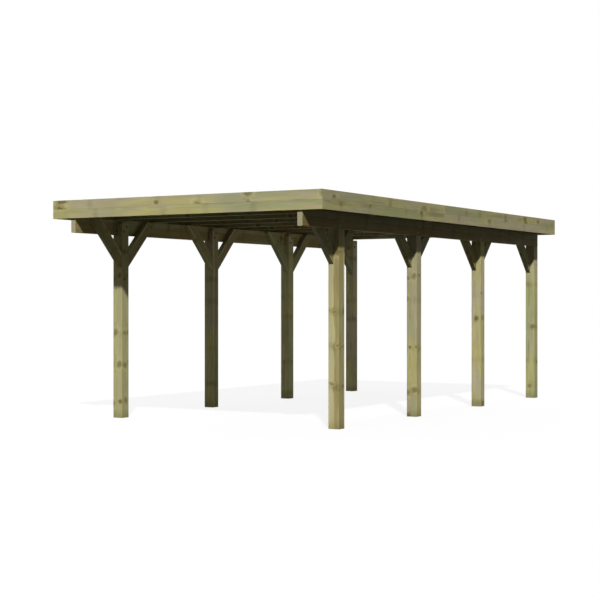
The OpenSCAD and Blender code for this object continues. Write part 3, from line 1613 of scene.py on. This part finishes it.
@dataclass
class Fascia(SubAssembly):
    """Two courses of boards round the roof, screwed to the rafters."""

    log: Log = Log(
        beside=(-0.03, 0.03), behind=(0.045, 0.075), green=(-0.1, 0.2), knotty=(0.2, 0.5)
    )
    arris: float = 0.002
    lightness: dict[Side | End, float] = field(
        default_factory=lambda: {
            End.FRONT: -0.15,
            End.REAR: 0.0,
            Side.LEFT: -0.05,
            Side.RIGHT: -0.23,
        }
    )
    front_upper: dict[str, float] = field(
        default_factory=lambda: {"beside": -0.04, "behind": 0.05, "start": 21.319, "knotty": 0.8}
    )
    screw_rises: dict[Course, tuple[float, ...]] = field(
        default_factory=lambda: {Course.LOWER: (0.030, 0.068), Course.UPPER: (0.013,)}
    )
    screw_columns: int = 6
    column_inset: float = 0.06

    def board(self, end: End, course: Course, side: Side | None) -> Timber:
        """Prepares one board.

        Args:
            end: The end of the roof that it lies at or starts from.
            course: Its course.
            side: The side that it runs along, or none for a board across an end.

        Returns:
            The board, not yet built.
        """
        log = self.log.chosen(light=self.lightness[side or end])
        if (side, end, course) == (None, End.FRONT, Course.UPPER):
            log = log.chosen(**self.front_upper)
        place = f"{side.value}_{end.value}" if side else end.value
        return Timber(f"fascia_{place}_{course.value}", log, arris=self.arris)

    def column(self, node: str, course: Course, x: float, y: float, facing: Vector) -> list[Fixing]:
        """Places the screws of one board that stand above each other.

        Args:
            node: The board's node.
            course: Its course.
            x: Where the screws are across the carport.
            y: Where they are along it.
            facing: The way that their heads face.

        Returns:
            The screws.
        """
        low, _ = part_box(node)
        heights = (low.z + rise for rise in self.screw_rises[course])
        return [Fixing(Vector((x, y, height)), facing) for height in heights]

    def end_screws(self, end: End) -> list[Fixing]:
        """Places the screws through the boards of one end into the rafter behind them.

        Args:
            end: The end.

        Returns:
            The screws.
        """
        found = []
        facing = Vector((0.0, end.facing, 0.0))
        for course in Course:
            node = f"fascia_{end.value}_{course.value}"
            low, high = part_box(node)
            face = high.y if end.facing > 0 else low.y
            span = high.x - low.x - 2 * self.column_inset
            for number in range(self.screw_columns):
                x = low.x + self.column_inset + span * number / (self.screw_columns - 1)
                found += self.column(node, course, x, face, facing)
        return found

    def side_screws(self, side: Side) -> list[Fixing]:
        """Places the screws through the boards of one side into the rafters' ends.

        Args:
            side: The side.

        Returns:
            The screws.
        """
        found = []
        facing = Vector((side.outward, 0.0, 0.0))
        rafters = [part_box(f"rafter_{number}") for number in range(1, RAFTERS + 1)]
        for course in Course:
            for end in End:
                node = f"fascia_{side.value}_{end.value}_{course.value}"
                low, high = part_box(node)
                face = high.x if side.outward > 0 else low.x
                for rafter_low, rafter_high in rafters:
                    first, last = max(rafter_low.y, low.y), min(rafter_high.y, high.y)
                    if first < last:
                        found += self.column(node, course, face, (first + last) / 2, facing)
        return found

    def build(self) -> None:
        """Makes the boards and their screws."""
        steel = self.finishes.screw
        for end in End:
            for course in Course:
                for side in (None, *Side):
                    board = self.board(end, course, side)
                    board.build(self.frame, self.finishes.fascia, "fascia_timber")
        screws = {end.value: self.end_screws(end) for end in End}
        screws |= {side.value: self.side_screws(side) for side in Side}
        for place, found in screws.items():
            add_fixings(f"fascia_screws_{place}", Head.BOARD_SCREW, found, steel)


@dataclass
class Roof(SubAssembly):
    """The ribbed roof sheets, screwed to the rafters in their troughs."""

    ribs_between_screws: int = 3
    sheet_thickness: float = 0.0008

    def screws(self) -> list[Fixing]:
        """Places a screw in every third trough on every rafter.

        Returns:
            The screws.
        """
        left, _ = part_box("roof_sheet_1")
        _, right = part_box(f"roof_sheet_{ROOF_SHEETS}")
        ribs = ROOF_SHEETS * RIBS_PER_SHEET
        pitch = (right.x - left.x) / ribs
        found = []
        for number in range(1, RAFTERS + 1):
            low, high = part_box(f"rafter_{number}")
            y = (low.y + high.y) / 2
            for rib in range(1, ribs, self.ribs_between_screws):
                place = Vector((left.x + (rib + 0.5) * pitch, y, high.z + self.sheet_thickness))
                found.append(Fixing(place, UP))
        return found

    def build(self) -> None:
        """Dresses the sheets and adds their screws."""
        for number in range(1, ROOF_SHEETS + 1):
            sheet = self.frame["nodes"][f"roof_sheet_{number}"]
            sheet.data.materials.clear()
            sheet.data.materials.append(self.finishes.roof)
            LOG.info("%s: %d faces", sheet.name, len(sheet.data.polygons))
        add_fixings("roof_screws", Head.ROOF_SCREW, self.screws(), self.finishes.bolt)


# --------------------------------------------------------------------------
# Stage
# --------------------------------------------------------------------------


@dataclass(frozen=True)
class Lamp:
    """A far lamp: where it stands, how strong it is and how wide it looks in degrees."""

    name: str
    towards: Triple
    strength: float
    softness: float


@dataclass(frozen=True)
class Panel:
    """A soft lamp under the roof: its place, the way to its back, its size and power."""

    place: Triple
    back: Triple
    width: float
    height: float
    power: float


@dataclass(frozen=True)
class Studio:
    """The plain pale floor, the soft light and the camera."""

    floor_size: float = 160.0
    floor_seen: float = 0.8
    floor_bounce: float = 0.06
    floor_warmth: float = 0.96
    floor_glow: float = 0.86
    sky_low: float = 0.03
    sky_high: float = 0.70
    sky_rise: Pair = (0.1, 0.75)
    sky_fade: float = 0.8
    sky_side: Pair = (0.0, 0.6)
    eye: Triple = (7.915, -14.094, 1.229)
    azimuth: float = 30.567
    lens: float = 85.57
    lamps: tuple[Lamp, ...] = (
        Lamp("key", (0.636, -0.947, 0.936), strength=4.04, softness=2.0),
        Lamp("front_fill", (0.2, -1.0, 0.06), strength=0.105, softness=50.0),
        Lamp("side_fill", (1.0, -0.25, 0.05), strength=0.03, softness=60.0),
        Lamp("rear_fill", (-0.75, 0.70, 0.45), strength=1.3, softness=40.0),
    )
    panel: Panel = Panel((1.1, 0.6, 0.75), (1.0, 0.0, 0.0), width=4.4, height=1.1, power=11.0)

    WHITE: ClassVar[tuple[float, float, float, float]] = (1.0, 1.0, 1.0, 1.0)
    SEEN_BY: ClassVar[tuple[str, ...]] = ("Is Glossy Ray", "Is Transmission Ray")

    def seen(self, graph: Graph) -> Value:
        """Tells where the backdrop is looked at from where it only gives light.

        Args:
            graph: The tree to build in.

        Returns:
            One where the camera, a reflection or glass looks at it, else zero.
        """
        path = graph.node("ShaderNodeLightPath")
        found = graph.out(path, "Is Camera Ray")
        for ray in self.SEEN_BY:
            found = graph.math("MAXIMUM", found, graph.out(path, ray))
        return found

    def add_floor(self) -> None:
        """Makes a floor that looks white, keeps shadows and bounces little light."""
        mesh = bmesh.new()
        bmesh.ops.create_grid(mesh, x_segments=1, y_segments=1, size=self.floor_size / 2)
        floor = mesh_object(mesh, "floor")
        surface = Surface("floor")
        seen = self.seen(surface)
        bounce, pale = self.floor_bounce, self.floor_seen
        unseen_tone = (bounce, bounce, bounce * self.floor_warmth, 1.0)
        tone = surface.blend(seen, unseen_tone, (pale, pale, pale, 1.0))
        matt = surface.out(surface.node("ShaderNodeBsdfDiffuse", None, {"Color": tone}))
        glow = surface.out(surface.node("ShaderNodeEmission", None, {"Color": self.WHITE}))
        shares = {0: seen * self.floor_glow, 1: matt, 2: glow}
        mixed = surface.out(surface.node("ShaderNodeMixShader", None, shares))
        surface.node("ShaderNodeOutputMaterial", None, {"Surface": mixed})
        floor.data.materials.append(surface.material)
        floor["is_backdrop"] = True

    @staticmethod
    def hang(data: bpy.types.Light, back: Triple) -> bpy.types.Object:
        """Puts a lamp in the scene.

        Args:
            data: The lamp.
            back: The way that its back faces, from which its light comes.

        Returns:
            The lamp's object, at the origin.
        """
        made = bpy.data.objects.new(data.name, data)
        made.rotation_mode = "QUATERNION"
        made.rotation_quaternion = Vector(back).to_track_quat("Z", "Y")
        bpy.context.scene.collection.objects.link(made)
        return made

    def add_lamps(self) -> None:
        """Adds the far lamps."""
        for lamp in self.lamps:
            data = bpy.data.lights.new(lamp.name, "SUN")
            data.energy = lamp.strength
            data.angle = math.radians(lamp.softness)
            self.hang(data, lamp.towards)

    def add_panel(self) -> None:
        """Adds the panel, which lightens the shade on the left and doesn't show itself."""
        data = bpy.data.lights.new("shade_fill", "AREA")
        data.shape = "RECTANGLE"
        data.size, data.size_y = self.panel.width, self.panel.height
        data.energy = self.panel.power
        made = self.hang(data, self.panel.back)
        made.location = self.panel.place
        made.visible_camera = made.visible_glossy = False

    def add_sky(self) -> None:
        """Adds a sky that looks white, and lights most from overhead, least on the right."""
        world = bpy.data.worlds.new("sky")
        world.use_nodes = True
        sky = Graph(world.node_tree)
        side, _, rise = sky.split(sky.out(sky.node("ShaderNodeTexCoord"), "Generated"))
        high = self.sky_high * (1 - sky.ramp(side, *self.sky_side) * self.sky_fade)
        glow = sky.ramp(rise, *self.sky_rise) * (high - self.sky_low) + self.sky_low
        seen = self.seen(sky)
        sockets = {"Color": self.WHITE, "Strength": seen + (1 - seen) * glow}
        backdrop = sky.out(sky.node("ShaderNodeBackground", None, sockets))
        sky.node("ShaderNodeOutputWorld", None, {"Surface": backdrop})
        bpy.context.scene.world = world

    def add_camera(self) -> None:
        """Puts the camera at eye height, off the front right corner."""
        data = bpy.data.cameras.new("camera")
        data.lens = self.lens
        data.clip_end = self.floor_size * 2
        camera = bpy.data.objects.new("camera", data)
        camera.location = self.eye
        camera.rotation_euler = (math.radians(90), 0.0, math.radians(self.azimuth))
        bpy.context.scene.collection.objects.link(camera)
        bpy.context.scene.camera = camera

    def build(self) -> None:
        """Sets the stage."""
        self.add_floor()
        self.add_lamps()
        self.add_panel()
        self.add_sky()
        self.add_camera()
        bpy.context.scene.view_settings.view_transform = "Standard"
        LOG.info("stage: %d far lamps and a panel", len(self.lamps))


@dataclass
class Carport(SubAssembly):
    """The whole carport."""

    def parts(self) -> list[SubAssembly]:
        """Lists the sub-assemblies, from the ground up.

        Returns:
            The sub-assemblies, not yet built.
        """
        common = (self.frame, self.finishes)
        sides = [part(*common, side) for side in Side for part in (PostRow, KneeBraces)]
        return [*sides, Purlins(*common), Rafters(*common), Fascia(*common), Roof(*common)]

    def build(self) -> None:
        """Builds every sub-assembly."""
        for part in self.parts():
            part.build()
            LOG.info("built %s", type(part).__name__)


def corners(pair: Sequence[Vector]) -> list[list[float]]:
    """Plain lists of the lowest and highest corner of a box."""
    return [list(corner) for corner in pair]


def main() -> None:
    """Builds the carport's looks around its construction model."""
    logging.basicConfig(level=logging.INFO, format="%(message)s")
    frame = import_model()
    cad_box = corners(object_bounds())
    Studio().build()
    Carport(frame, Finishes.make()).build()
    {"cad": cad_box, "visual": corners(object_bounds())}


if __name__ == "__main__":
    main()
